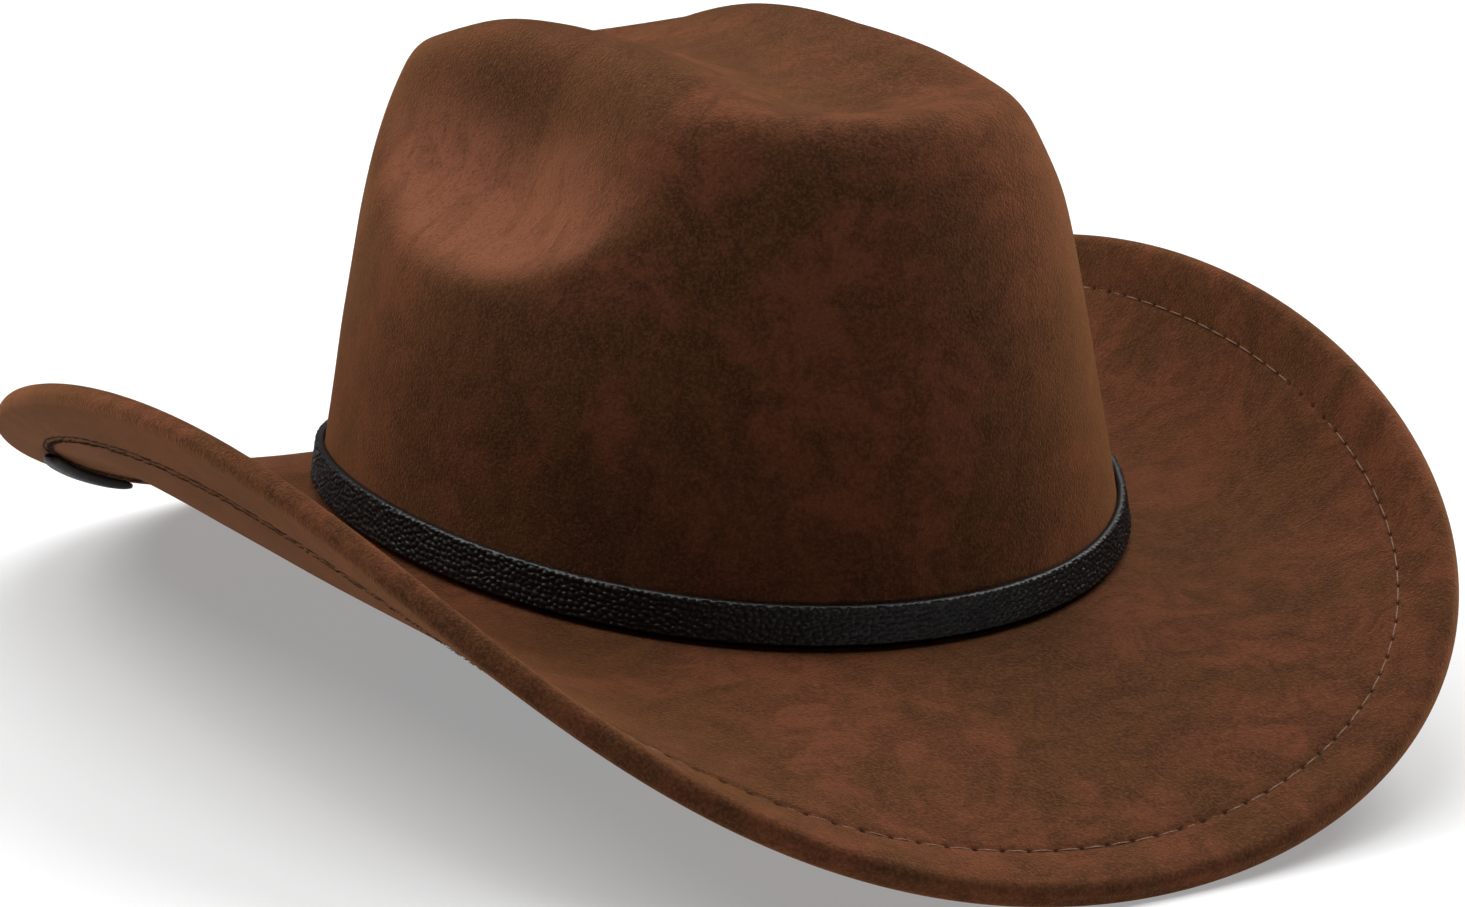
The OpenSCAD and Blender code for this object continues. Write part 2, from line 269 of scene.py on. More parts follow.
def value_noise(p, seed=0):
    """Smooth noise from -1 to 1 at points p, one unit to a cell."""
    base = np.floor(p)
    f = p - base
    w = f * f * (3 - 2 * f)
    total = 0
    for corner in range(8):
        d = [(corner >> k) & 1 for k in range(3)]
        weight = 1
        for k in range(3):
            weight = weight * (w[..., k] if d[k] else 1 - w[..., k])
        cell = [base[..., k] + d[k] for k in range(3)]
        total = total + weight * hashed(*cell, np.full(base.shape[:-1], seed))
    return 2 * total - 1


def uneven(p, waves):
    """Sum of smooth noises at the points p in mm, each given as (cell size, seed, height)."""
    return sum(value_noise(p / size, seed) * height for size, seed, height in waves)


def cells(u, w, seed):
    """Distance to the nearest and to the second nearest of a field of jittered points."""
    jitter, far = 0.8, 9.0
    bu, bw = np.floor(u), np.floor(w)
    near = np.full(u.shape, far)
    second = near.copy()
    for du in (-1, 0, 1):
        for dw in (-1, 0, 1):
            cu, cw = bu + du, bw + dw
            pu = cu + 0.5 + jitter * (hashed(cu, cw, np.full(u.shape, seed)) - 0.5)
            pw = cw + 0.5 + jitter * (hashed(cu, cw, np.full(u.shape, seed + 1)) - 0.5)
            d = np.hypot(pu - u, pw - w)
            second = np.minimum(second, np.maximum(near, d))
            near = np.minimum(near, d)
    return near, second


# ---------------------------------------------------------------- mesh building


def new_mesh(name, verts, faces, material, smooth=True):
    """A mesh object from points in millimetres; faces is an array of quads or a list."""
    mesh = bpy.data.meshes.new(name)
    verts = np.asarray(verts, float).reshape(-1, 3) * MM
    mesh.from_pydata(verts.tolist(), [], [list(map(int, f)) for f in faces])
    mesh.validate()
    mesh.update()
    if smooth:
        mesh.polygons.foreach_set("use_smooth", np.ones(len(mesh.polygons), bool))
    mesh.materials.append(material)
    obj = bpy.data.objects.new(name, mesh)
    bpy.context.scene.collection.objects.link(obj)
    return obj


def ring_faces(stations, around, closed=True):
    """Quads between neighbouring sections; each section is a closed loop of points."""
    i = np.arange(stations if closed else stations - 1)[:, None]
    k = np.arange(around)[None, :]
    j = (i + 1) % stations
    n = (k + 1) % around
    quads = np.stack([i * around + k, i * around + n, j * around + n, j * around + k], -1)
    return quads.reshape(-1, 4).tolist()


def loft(name, sections, material, closed=True):
    """A solid through sections[station][point], closed into a ring or capped at both ends."""
    stations, around = sections.shape[:2]
    faces = ring_faces(stations, around, closed)
    if not closed:
        faces.append(list(range(around))[::-1])
        faces.append([(stations - 1) * around + k for k in range(around)])
    return new_mesh(name, sections, faces, material)


def piece(obj, body, slot, *nodes):
    """Puts a finished piece on its body and hides the CAD nodes it stands for."""
    obj.data.transform(Matrix.Translation((0, 0, GROUND * MM)))
    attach(obj, body)
    if nodes:
        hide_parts(*nodes)
    return obj


def vertex_value(obj, name, values):
    """Stores one number per vertex for the material to read."""
    layer = obj.data.attributes.new(name, "FLOAT", "POINT")
    layer.data.foreach_set("value", np.asarray(values, np.float32).ravel())


# ---------------------------------------------------------------- materials


class Nodes:
    """Short calls for building one material's nodes."""

    def __init__(self, name):
        self.material = bpy.data.materials.new(name)
        self.material.use_nodes = True
        self.tree = self.material.node_tree
        self.shader = self.tree.nodes["Principled BSDF"]
        self.coords = self.add("ShaderNodeTexCoord").outputs["Object"]

    def add(self, kind, **values):
        node = self.tree.nodes.new(kind)
        for key, value in values.items():
            setattr(node, key, value)
        return node

    def link(self, source, target):
        self.tree.links.new(source, target)

    def noise(self, scale, detail=3.0, rough=0.55, distort=0.0, stretch=(1, 1, 1), turn=(0, 0, 0)):
        """Cloudy noise with scale in cells per metre."""
        place = self.add("ShaderNodeMapping")
        place.inputs["Scale"].default_value = stretch
        place.inputs["Rotation"].default_value = turn
        self.link(self.coords, place.inputs["Vector"])
        tex = self.add("ShaderNodeTexNoise")
        tex.inputs["Scale"].default_value = scale
        tex.inputs["Detail"].default_value = detail
        tex.inputs["Roughness"].default_value = rough
        tex.inputs["Distortion"].default_value = distort
        self.link(place.outputs["Vector"], tex.inputs["Vector"])
        return tex.outputs["Fac"]

    def curve(self, value, low, high, to_low=0.0, to_high=1.0):
        """Smooth step from to_low to to_high as the value runs from low to high."""
        node = self.add("ShaderNodeMapRange", interpolation_type="SMOOTHSTEP")
        node.inputs["From Min"].default_value = low
        node.inputs["From Max"].default_value = high
        node.inputs["To Min"].default_value = to_low
        node.inputs["To Max"].default_value = to_high
        self.link(value, node.inputs["Value"])
        return node.outputs["Result"]

    def over(self, colour, upper, mask, share=1.0):
        """The colour with that share of the upper colour laid over it where the mask is 1."""
        factor = mask if share == 1.0 else self.maths("MULTIPLY", mask, share)
        node = self.add("ShaderNodeMixRGB", blend_type="MIX")
        self.put(node.inputs["Fac"], factor)
        self.put(node.inputs["Color1"], colour)
        self.put(node.inputs["Color2"], upper)
        return node.outputs["Color"]

    def put(self, socket, value):
        """Sets a socket to a colour or a number, or links an output to it."""
        if isinstance(value, tuple):
            socket.default_value = (*value, 1.0)
        elif isinstance(value, (int, float)):
            socket.default_value = value
        else:
            self.link(value, socket)

    def maths(self, operation, a, b=0.0):
        node = self.add("ShaderNodeMath", operation=operation)
        self.put(node.inputs[0], a)
        self.put(node.inputs[1], b)
        return node.outputs[0]

    def attribute(self, name):
        return self.add("ShaderNodeAttribute", attribute_name=name).outputs["Fac"]

    def bump(self, height, distance, strength=1.0, after=None):
        node = self.add("ShaderNodeBump")
        node.inputs["Strength"].default_value = strength
        node.inputs["Distance"].default_value = distance
        self.link(height, node.inputs["Height"])
        if after is not None:
            self.link(after, node.inputs["Normal"])
        return node.outputs["Normal"]

    def finish(self, **sockets):
        """Fills the shader's sockets; an underscore in a name stands for a space."""
        for key, value in sockets.items():
            name = key.replace("_", " ")
            self.put(self.shader.inputs[name], value)
        return self.material


def suede():
    """Brushed suede-look cloth: nap lying in two directions, fine fibres, soft sheen, and painted light
    and shade read from the mesh.
    """
    n = Nodes("suede")
    brushed = n.noise(95, detail=4, rough=0.62, distort=0.8,
                      stretch=(0.5, 1.5, 1.0), turn=(0, 0, 0.5))
    patches = n.curve(n.noise(26, detail=3, rough=0.55, distort=0.9), low=0.41, high=0.58)
    clouds = n.curve(n.noise(62, detail=5, rough=0.66, distort=1.6), low=0.43, high=0.60)
    strokes = n.curve(brushed, low=0.44, high=0.66)
    speckle = n.curve(n.noise(1250, detail=2, rough=0.7), low=0.44, high=0.62)
    pits = n.curve(n.noise(900, detail=3, rough=0.75), low=0.50, high=0.64)
    red = (0.124, 0.0380, 0.0168)
    olive = (0.070, 0.0280, 0.0088)
    dark = (0.030, 0.0115, 0.0038)
    light = (0.185, 0.0690, 0.0330)
    rubbed_and_lit = (0.270, 0.0980, 0.0540)
    hole_and_edge_shadow = (0.006, 0.003, 0.002)
    colour = n.over(red, olive, patches, 0.9)
    colour = n.over(colour, dark, clouds, 0.52)
    # painted shade beside the crease and on the underside of the brim, partly a crushed nap
    colour = n.over(colour, dark, n.attribute("crushed_and_shaded"), 0.62)
    # painted light on the dent floors, partly a rubbed nap
    colour = n.over(colour, rubbed_and_lit, n.attribute("rubbed_and_lit"), 0.88)
    colour = n.over(colour, dark, strokes, 0.36)
    colour = n.over(colour, light, speckle, 0.34)
    colour = n.over(colour, dark, pits, 0.36)
    # painted shade in the stitch holes and along the hem's raw edge
    colour = n.over(colour, hole_and_edge_shadow, n.attribute("hole"))
    grain = n.bump(n.noise(420, detail=4, rough=0.62), distance=0.0006, strength=0.16)
    nap = n.bump(n.noise(1500, detail=3, rough=0.65), distance=0.0006, strength=0.7, after=grain)
    return n.finish(Base_Color=colour, Roughness=0.95, Specular_IOR_Level=0.10, Normal=nap,
                    Sheen_Weight=0.42, Sheen_Roughness=0.38, Sheen_Tint=(1.0, 0.42, 0.16))


def times(colour, factor):
    return tuple(factor * c for c in colour)


def felt(name, colour, light):
    """Moulded or pressed felt."""
    n = Nodes(name)
    clouds = n.curve(n.noise(90, detail=4, rough=0.6), low=0.3, high=0.7)
    tone = n.over(colour, light, clouds)
    nap = n.bump(n.noise(900, detail=3, rough=0.7), distance=0.0005, strength=0.5)
    return n.finish(Base_Color=tone, Roughness=0.95, Specular_IOR_Level=0.15, Normal=nap,
                    Sheen_Weight=0.3, Sheen_Roughness=0.5)


def leather(name, colour, rough, shine, grain_scale, depth):
    """Imitation leather; the coarse grain of the band is in its mesh, the fine grain here."""
    n = Nodes(name)
    pores = n.noise(grain_scale, detail=3, rough=0.6)
    worn = n.curve(n.noise(120, detail=3, rough=0.5), low=0.3, high=0.75)
    tone = n.over(colour, times(colour, 2.0), worn, 0.5)
    gloss = n.curve(pores, low=0.25, high=0.75, to_low=rough - 0.07, to_high=rough + 0.1)
    relief = n.bump(pores, distance=depth, strength=0.5)
    return n.finish(Base_Color=tone, Roughness=gloss, Specular_IOR_Level=shine, Normal=relief)


def thread(name, colour):
    """Twisted sewing thread."""
    n = Nodes(name)
    twist = n.noise(1400, detail=2, rough=0.5, stretch=(1, 1, 2.5))
    tone = n.over(times(colour, 0.6), colour, n.curve(twist, low=0.35, high=0.65))
    relief = n.bump(twist, distance=0.0002, strength=0.6)
    return n.finish(Base_Color=tone, Roughness=0.8, Specular_IOR_Level=0.08, Normal=relief)


def ribbed(name, colour):
    """Woven band with fine upright ribs, carried round the head by the 'round' value."""
    n = Nodes(name)
    wave = n.maths("SINE", n.maths("MULTIPLY", n.attribute("round"), FULL_TURN))
    rib = n.maths("MULTIPLY_ADD", wave, 0.5)
    dust = n.noise(700, detail=3, rough=0.6)
    tone = n.over(colour, times(colour, 2.2), n.curve(dust, low=0.3, high=0.8))
    weave = n.bump(dust, distance=0.0002, strength=0.4)
    nap = n.bump(rib, distance=0.0002, strength=0.8, after=weave)
    return n.finish(Base_Color=tone, Roughness=0.8, Normal=nap, Sheen_Weight=0.2)


def metal(name, colour, rough):
    """Drawn wire or pressed sleeve with faint marks along it."""
    n = Nodes(name)
    marks = n.noise(900, detail=3, rough=0.6)
    tone = n.over(times(colour, 0.8), colour, n.curve(marks, low=0.3, high=0.7))
    gloss = n.curve(marks, low=0.2, high=0.8, to_low=rough, to_high=rough + 0.15)
    return n.finish(Base_Color=tone, Metallic=1.0, Roughness=gloss)


SUEDE = suede()
LINING = felt("moulded_felt", (0.020, 0.017, 0.014), light=(0.034, 0.029, 0.025))
CORE = felt("pressed_felt", (0.045, 0.037, 0.03), light=(0.07, 0.06, 0.05))
TAPE = felt("woven_tape", (0.012, 0.012, 0.013), light=(0.02, 0.02, 0.022))
BAND = leather("pebbled_leather", (0.0045, 0.0047, 0.0050), rough=0.42, shine=0.42,
               grain_scale=1500, depth=0.00015)
STRIP = leather("smooth_leather", (0.0100, 0.0085, 0.0085), rough=0.55, shine=0.25,
                grain_scale=900, depth=0.00010)
BROWN_THREAD = thread("brown_thread", (0.30, 0.185, 0.125))
DARK_THREAD = thread("under_thread", (0.034, 0.017, 0.010))
GREY_THREAD = thread("grey_thread", (0.07, 0.07, 0.075))
SWEAT = ribbed("ribbed_band", (0.010, 0.010, 0.011))
STEEL = metal("drawn_steel", (0.55, 0.56, 0.57), rough=0.3)
BRASS = metal("pressed_brass", (0.62, 0.45, 0.2), rough=0.32)

# ---------------------------------------------------------------- camera, light and floor
# Here places and sizes of the camera and the lights are in metres.

CAM_AZIMUTH, CAM_ELEVATION = math.radians(-30.61), math.radians(16.18)
CAM_DISTANCE = 1.745
CAM_TARGET = Vector((0.0029, -0.00377, 0.0514))
CAM_LENS, CAM_SENSOR = 188.3, 36.0

# name, place, size and power in watts of each disc light, all aimed at the hat
LIGHTS = (
    ("top", (-0.1, 0.1, 2.08), 1.4, 19),
    ("left_back", (-0.91, 0.91, 1.61), 1.2, 23),
    ("right_back", (0.91, 0.91, 1.61), 1.2, 13.5),
    ("right", (1.29, 0, 1.61), 1.2, 25),
)
LIGHT_AIM = Vector((0, 0, 0.08))
WORLD_GLOW = 0.01

WHITE, BLACK = (1.0, 1.0, 1.0), (0.0, 0.0, 0.0)
FLOOR_R, FLOOR_SIDES = 1500.0, 96
FLOOR_GREY, FLOOR_GLOW = (0.6, 0.6, 0.6), 0.32
DOME_R, DOME_ROWS = 6000.0, 25


def make_camera():
    data = bpy.data.cameras.new("camera")
    data.sensor_width = CAM_SENSOR
    data.lens = CAM_LENS
    data.dof.use_dof = False
    cam = bpy.data.objects.new("camera", data)
    bpy.context.scene.collection.objects.link(cam)
    level = math.cos(CAM_ELEVATION)
    back = Vector((math.sin(CAM_AZIMUTH) * level, -math.cos(CAM_AZIMUTH) * level,
                   math.sin(CAM_ELEVATION)))
    cam.location = CAM_TARGET + back * CAM_DISTANCE
    cam.rotation_mode = "QUATERNION"
    cam.rotation_quaternion = (-back).to_track_quat("-Z", "Y")
    bpy.context.scene.camera = cam


def disc_light(name, place, size, power):
    data = bpy.data.lights.new(name, "AREA")
    data.shape = "DISK"
    data.size = size
    data.energy = power
    lamp = bpy.data.objects.new(name, data)
    bpy.context.scene.collection.objects.link(lamp)
    lamp.location = place
    lamp.rotation_mode = "QUATERNION"
    lamp.rotation_quaternion = (LIGHT_AIM - Vector(place)).to_track_quat("-Z", "Y")


def make_stage():
    # a pale matt disc that glows a little, so that it comes out nearly white
    n = Nodes("pale_floor")
    n.finish(Base_Color=FLOOR_GREY, Roughness=0.9, Specular_IOR_Level=0.1,
             Emission_Color=WHITE, Emission_Strength=FLOOR_GLOW)
    turn = np.linspace(0, FULL_TURN, FLOOR_SIDES, endpoint=False)
    rim = FLOOR_R * points(np.cos(turn), np.sin(turn), 0 * turn)
    floor = new_mesh("floor", rim, [tuple(range(len(turn)))], n.material, smooth=False)

    # a white dome round the floor, seen by the camera only, so it adds no light of its own
    n = Nodes("white_dome")
    n.finish(Base_Color=BLACK, Specular_IOR_Level=0, Emission_Color=WHITE, Emission_Strength=1)
    rise = np.linspace(-np.pi / 2, np.pi / 2, DOME_ROWS)[None, :]
    round_z = turn[:, None] + 0 * rise
    ball = DOME_R * points(np.cos(rise) * np.cos(round_z), np.cos(rise) * np.sin(round_z), np.sin(rise))
    dome = loft("dome", ball, n.material)
    dome.visible_diffuse = False
    dome.visible_glossy = False
    dome.visible_shadow = False

    world = bpy.data.worlds.new("studio")
    world.use_nodes = True
    background = world.node_tree.nodes["Background"]
    background.inputs["Color"].default_value = (*WHITE, 1.0)
    background.inputs["Strength"].default_value = WORLD_GLOW
    bpy.context.scene.world = world
    bpy.context.scene.view_settings.view_transform = "Standard"
    for light in LIGHTS:
        disc_light(*light)


make_camera()
make_stage()


# ---------------------------------------------------------------- crown

# stations round and rows up for the cloth and for the stiffener
CROWN_MESH, LINING_MESH = (420, 180), (240, 90)
# soft unevenness as (cell size, seed, height), growing over the lowest part of the wall
CROWN_WAVES = ((34.0, 3, 0.35), (13.0, 5, 0.10))
CROWN_WAVES_FROM = (0.10, 0.2)

# painted light, partly a rubbed nap, lies where the dents are deeper than the first range and beyond the
# second range from the middle
LIT_RUB_SHARE, LIT_RUB_FROM = (0.0, 0.36), (47.0, 66.0)
# and painted shade, partly a crushed nap, lies beside the crease: where along the crown, how far from
# the middle, how high up
SHADE_Y, SHADE_LENGTH = 35, 65
SHADE_FROM, SHADE_RISE = (12, 26), (0.75, 0.9)


def crown_shell(name, off, thick, material, stations, rows, waves):
    """A closed shell over the head whose outer face lies at the offset off."""
    a = even_angles(stations)
    v = np.linspace(0, 1, rows + 1)[None, :-1]
    outer = crown_pt(a, v, np.full((stations, rows), off))
    if waves:
        swell = uneven(outer, waves) * ramp(*CROWN_WAVES_FROM, v)
        outer = outer + crown_out(a, v) * swell[..., None]
    inner = crown_pt(a, v, np.full((stations, rows), off - thick))
    peak = crown_mid(np.array(0.0), np.array(1.0))
    verts = np.concatenate([outer, inner[:, ::-1]], 1)

    # the two faces meet at the brim; on top each is closed by a fan round its own middle point
    m = 2 * rows
    quads = [q for q in ring_faces(stations, m) if q[0] % m != rows - 1]
    apex = stations * m
    i = np.arange(stations)
    j = (i + 1) % stations
    fans = [(p * m + rows - 1, apex, q * m + rows - 1) for p, q in zip(i, j)]
    fans += [(q * m + rows, apex + 1, p * m + rows) for p, q in zip(i, j)]
    ends = np.array([peak + [0, 0, off], peak + [0, 0, off - thick]])
    return new_mesh(name, np.concatenate([verts.reshape(-1, 3), ends]), quads + fans, material)


def make_crown():
    """The suede cover with painted light on its dent floors (partly a rubbed nap) and painted shade
    beside its crease (partly a crushed nap), and the felt stiffener under it.
    """
    stations, rows = CROWN_MESH
    cover = crown_shell("crown_suede", 0.0, COVER_T, SUEDE, stations, rows, CROWN_WAVES)
    x, y, z, h = crown_block(even_angles(stations), np.linspace(0, 1, rows + 1)[None, :-1])
    # painted light on the dent floors and painted shade beside the crease, both partly the nap
    along = np.exp(-((y - SHADE_Y) / SHADE_LENGTH) ** 2)
    nap_light_and_shade = {"rubbed_and_lit": ramp(*LIT_RUB_SHARE, dent_share(y, z)) * ramp(*LIT_RUB_FROM, np.abs(x)),
            "crushed_and_shaded": along * ramp(*SHADE_FROM, np.abs(x)) * ramp(*SHADE_RISE, h)}
    for name, outer_face in nap_light_and_shade.items():
        whole = np.zeros((stations, 2 * rows))
        whole[:, :rows] = outer_face
        # the shell's last two points are the middles of the fans on top
        vertex_value(cover, name, np.append(whole.ravel(), [0, 0]))
    piece(cover, "hat", "suede", "crown_cover")

    lining = crown_shell("crown_felt", -COVER_T - SEAM_GAP, STIFFENER_T, LINING, *LINING_MESH, ())
    piece(lining, "hat", "stiffener", "crown_stiffener")


# ---------------------------------------------------------------- brim

BRIM_STATIONS, UNDER_STATIONS = 1700, 720
FINE_STATIONS = 7201
STITCH_PITCH = 6.2

# rows of the upper face: far in, before the seam (from NEAR_FROM on), at the seam, up to the roll
FAR_ROWS, NEAR_ROWS, SEAM_ROWS, EDGE_ROWS = 30, 9, 18, 15
NEAR_FROM, SEAM_HALF = 20, 2
# rows of the rolled edge, of the hem's two parts and of the lower cover; every third row inside
ROLL_ROWS, FLAP_ROWS, FLAP_FINE_FROM = 34, (10, 16), 0.8
UNDER_ROWS, UNDER_END = 60, 3.6
THIN = 3

# soft unevenness of both faces, fading out towards the crown and towards the edge
BRIM_WAVE_SIZE, BRIM_WAVE_SEED = 30.0, 11
BRIM_WAVE_FROM = (0.05, 0.3)
TOP_WAVE, UNDER_WAVE = 0.4, 0.3
TOP_WAVE_TO, UNDER_WAVE_TO = (3, 12), (12, 20)

# where the faces of the brim pass into the rolled edge, and how square that edge's section is
ROLL_START, ROLL_END, ROLL_SQUARE = 1.2, math.radians(100), 2.6
PUFF_FROM, PUFF_POWER = 1.0, 0.8

# the seam: radii of a pulled-in hole along and across it, half width of the groove, depths of both
HOLE_ALONG, HOLE_ACROSS, GROOVE_HALF = 0.65, 0.5, 1.3
TOP_GROOVE, TOP_HOLE = 0.35, 0.5
HEM_GROOVE, HEM_HOLE = 0.3, 0.45

# the hem's raw edge: its distance behind the stitches, its raggedness and its worn lip
HEM_REACH = 1.3
FRAY_WAVES = ((2.6, 17, 0.7), (1.1, 19, 0.55))
LIP_FROM, LIP_TO, LIP_DEPTH = 1.1, 0.1, 0.65
# painted shade along the hem's raw edge: cell size and seed of its noise, its mean and its swing
EDGE_SHADE_SIZE, EDGE_SHADE_SEED, EDGE_SHADE_MEAN, EDGE_SHADE_SWING = 2.2, 23, 0.8, 0.5

# how much painted shade lies in the holes, and how much painted shade, partly a darker nap, lies on the
# underside
TOP_HOLE_SHADE, HEM_HOLE_SHADE = 0.9, 0.95
UNDER_SHADE, UNDER_SHADE_BY = 0.6, math.radians(70)


def stitch_line():
    """Angles of the evenly spaced stitch holes, then fine angles and the run of the line to each."""
    fine = np.linspace(0, FULL_TURN, FINE_STATIONS)
    line = brim_pt(fine, inset(fine, STITCH_INSET), np.full(fine.shape, BRIM_T / 2))
    run = np.concatenate([[0], np.cumsum(np.linalg.norm(np.diff(line, axis=0), axis=1))])
    count = int(round(run[-1] / STITCH_PITCH))
    holes = np.interp(np.arange(count) * run[-1] / count, run, fine)
    return holes, fine, run


def brim_angles():
    """Stations that are evenly spaced along the stitch line."""
    _, fine, run = stitch_line()
    return np.interp(np.arange(BRIM_STATIONS) * run[-1] / BRIM_STATIONS, run, fine)


def hole_depth(a, d):
    """Share of the pull of the single holes and of the whole groove, at the distance d from the edge."""
    holes, fine, run = stitch_line()
    at = np.interp(a, fine, run)
    spots = np.interp(holes, fine, run)
    pitch = run[-1] / len(holes)
    off_hole = (at - spots[0] + pitch / 2) % pitch - pitch / 2
    aside = d - STITCH_INSET
    ring = np.exp(-((off_hole[:, None] / HOLE_ALONG) ** 2) - (aside / HOLE_ACROSS) ** 2)
    groove = np.exp(-(aside / GROOVE_HALF) ** 2) * np.ones_like(ring)
    return ring, groove


def brim_wave(a, s, height):
    """Soft unevenness of a face of the brim."""
    noise = value_noise(brim_mid(a, s) / BRIM_WAVE_SIZE, BRIM_WAVE_SEED)
    return noise * height * ramp(*BRIM_WAVE_FROM, s)


def make_brim():
    """The upper cover, the rolled edge and the turned-under hem, as one closed skin of cloth."""
    a = brim_angles()[:, None]
    reach = brim_reach(a)

    # the upper face, with its rows closest together at the stitches; distances run inwards
    # from the middle of the roll
    seam_in, seam_out = STITCH_INSET + SEAM_HALF, STITCH_INSET - SEAM_HALF
    close = np.concatenate([np.linspace(NEAR_FROM, seam_in, NEAR_ROWS, endpoint=False),
                            np.linspace(seam_in, seam_out, SEAM_ROWS, endpoint=False),
                            np.linspace(seam_out, ROLL_START, EDGE_ROWS)])
    s_close = 1 - close[None, :] / reach
    s_far = np.linspace(0, 1, FAR_ROWS + 1)[None, :-1] * s_close[:, :1]
    s_top = np.concatenate([s_far, s_close], 1)
    d_top = (1 - s_top) * reach
    puff = (ROLL_R - BRIM_T / 2) * (1 - ramp(PUFF_FROM, STITCH_INSET - 1, d_top)) ** PUFF_POWER
    ring_top, groove = hole_depth(a[:, 0], d_top)
    wave = brim_wave(a, s_top, TOP_WAVE) * ramp(*TOP_WAVE_TO, d_top)
    lift = BRIM_T / 2 + puff - TOP_GROOVE * groove - TOP_HOLE * ring_top + wave
    top = brim_pt(a, s_top, lift)

    # the rolled edge: a flattened round, from its upper shoulder round to the lower one
    t = np.linspace(ROLL_END, -ROLL_END, ROLL_ROWS)[None, :]
    squared = np.abs(np.cos(t)) ** ROLL_SQUARE + np.abs(np.sin(t)) ** ROLL_SQUARE
    swell = 1 / squared ** (1 / ROLL_SQUARE)
    roll = roll_pt(a, ROLL_R * swell * np.cos(t) + 0 * a, ROLL_R * swell * np.sin(t) + 0 * a)

    # the turned-under flap and its uneven, fuzzy cut edge
    rim = edge(a[:, 0])
    end = STITCH_INSET + HEM_REACH + uneven(rim, FRAY_WAVES)[:, None]
    along_flap = np.concatenate([np.linspace(0, FLAP_FINE_FROM, FLAP_ROWS[0], endpoint=False),
                                 np.linspace(FLAP_FINE_FROM, 1, FLAP_ROWS[1])])
    d_flap = along_flap[None, :] * (end - ROLL_START) + ROLL_START
    s_flap = 1 - d_flap / reach
    ring, groove = hole_depth(a[:, 0], d_flap)
    under = -HEM_FACE - (ROLL_R - HEM_FACE) * (1 - ramp(PUFF_FROM, seam_out, d_flap))
    lip = ramp(end - LIP_FROM, end - LIP_TO, d_flap)
    flap = brim_pt(a, s_flap, under + HEM_GROOVE * groove + HEM_HOLE * ring + LIP_DEPTH * lip)
    back = brim_pt(a, s_flap[:, ::-1], np.full(s_flap.shape, -BRIM_T / 2 - SEAM_GAP))

    # inner faces of the cloth, back to the crown
    t_in = t[:, ::-1][:, ::THIN]
    inside = roll_pt(a, CHANNEL_R * np.cos(t_in) + 0 * a, CHANNEL_R * np.sin(t_in) + 0 * a)
    s_back = s_top[:, ::-1][:, 2::THIN]
    lining = brim_pt(a, s_back, np.full(s_back.shape, BRIM_T / 2 - COVER_T))
    sections = np.concatenate([top, roll, flap, back, inside, lining], 1)
    obj = loft("brim_suede_and_hem", sections, SUEDE)

    # painted shade in the holes and along the hem's raw edge, and painted shade, partly a darker nap,
    # from the roll's lower half on
    first_roll = top.shape[1]
    first_flap = first_roll + roll.shape[1]
    last_flap = first_flap + flap.shape[1]
    edge_shade = EDGE_SHADE_MEAN + EDGE_SHADE_SWING * value_noise(rim / EDGE_SHADE_SIZE, EDGE_SHADE_SEED)[:, None]
    dark = np.zeros(sections.shape[:2])
    dark[:, :first_roll] = TOP_HOLE_SHADE * ring_top
    dark[:, first_flap:last_flap] = np.clip(HEM_HOLE_SHADE * ring + edge_shade * lip, 0, 1)
    vertex_value(obj, "hole", dark)
    shade = np.zeros(sections.shape[:2])
    shade[:, first_roll:first_flap] = UNDER_SHADE * ramp(0.0, UNDER_SHADE_BY, -t)
    shade[:, first_flap:last_flap] = UNDER_SHADE
    vertex_value(obj, "crushed_and_shaded", shade)
    piece(obj, "hat", "suede", "brim_top_cover", "brim_edge_hem")


def make_under_brim():
    """The lower cover, whose outer end lies inside the hem."""
    a = even_angles(UNDER_STATIONS)
    reach = brim_reach(a)
    s = np.linspace(0, 1, UNDER_ROWS)[None, :] * (1 - UNDER_END / reach)
    wave = brim_wave(a, s, UNDER_WAVE) * ramp(*UNDER_WAVE_TO, (1 - s) * reach)
    upper = brim_pt(a, s, np.full(s.shape, -BRIM_T / 2 + COVER_T))
    lower = brim_pt(a, s[:, ::-1], -BRIM_T / 2 + wave[:, ::-1])
    obj = loft("brim_suede_under", np.concatenate([upper, lower], 1), SUEDE)
    # painted shade, partly a darker nap, over the whole lower cover
    vertex_value(obj, "crushed_and_shaded", np.full((len(a), 2 * s.shape[1]), UNDER_SHADE))
    piece(obj, "hat", "suede", "brim_under_cover")


# ---------------------------------------------------------------- stitching

# mesh of one length of thread
THREAD_STEPS, THREAD_SIDES = 9, 8
# where a stitch begins and ends between two holes, its thickness and the height of its arch
STITCH_FROM, STITCH_TO = 0.10, 0.90
STITCH_T, STITCH_ARCH = 0.32, 0.14
# how far stitches sink into the nap: each one by chance, and those from the front on towards
# the wearer's left as well, less and less
SINK_CHANCE = 0.14
FRONT_SINK, FRONT_AT, FRONT_SPREAD = 0.3, -35.0, 0.9
# how deep each row lies, the width of its thread and how far its stitches stray sideways
TOP_DEPTH, TOP_THREAD_W, TOP_STRAY = 0.36, 0.38, 0.05
UNDER_DEPTH, UNDER_THREAD_W, UNDER_STRAY = 0.35, 0.5, 0.3


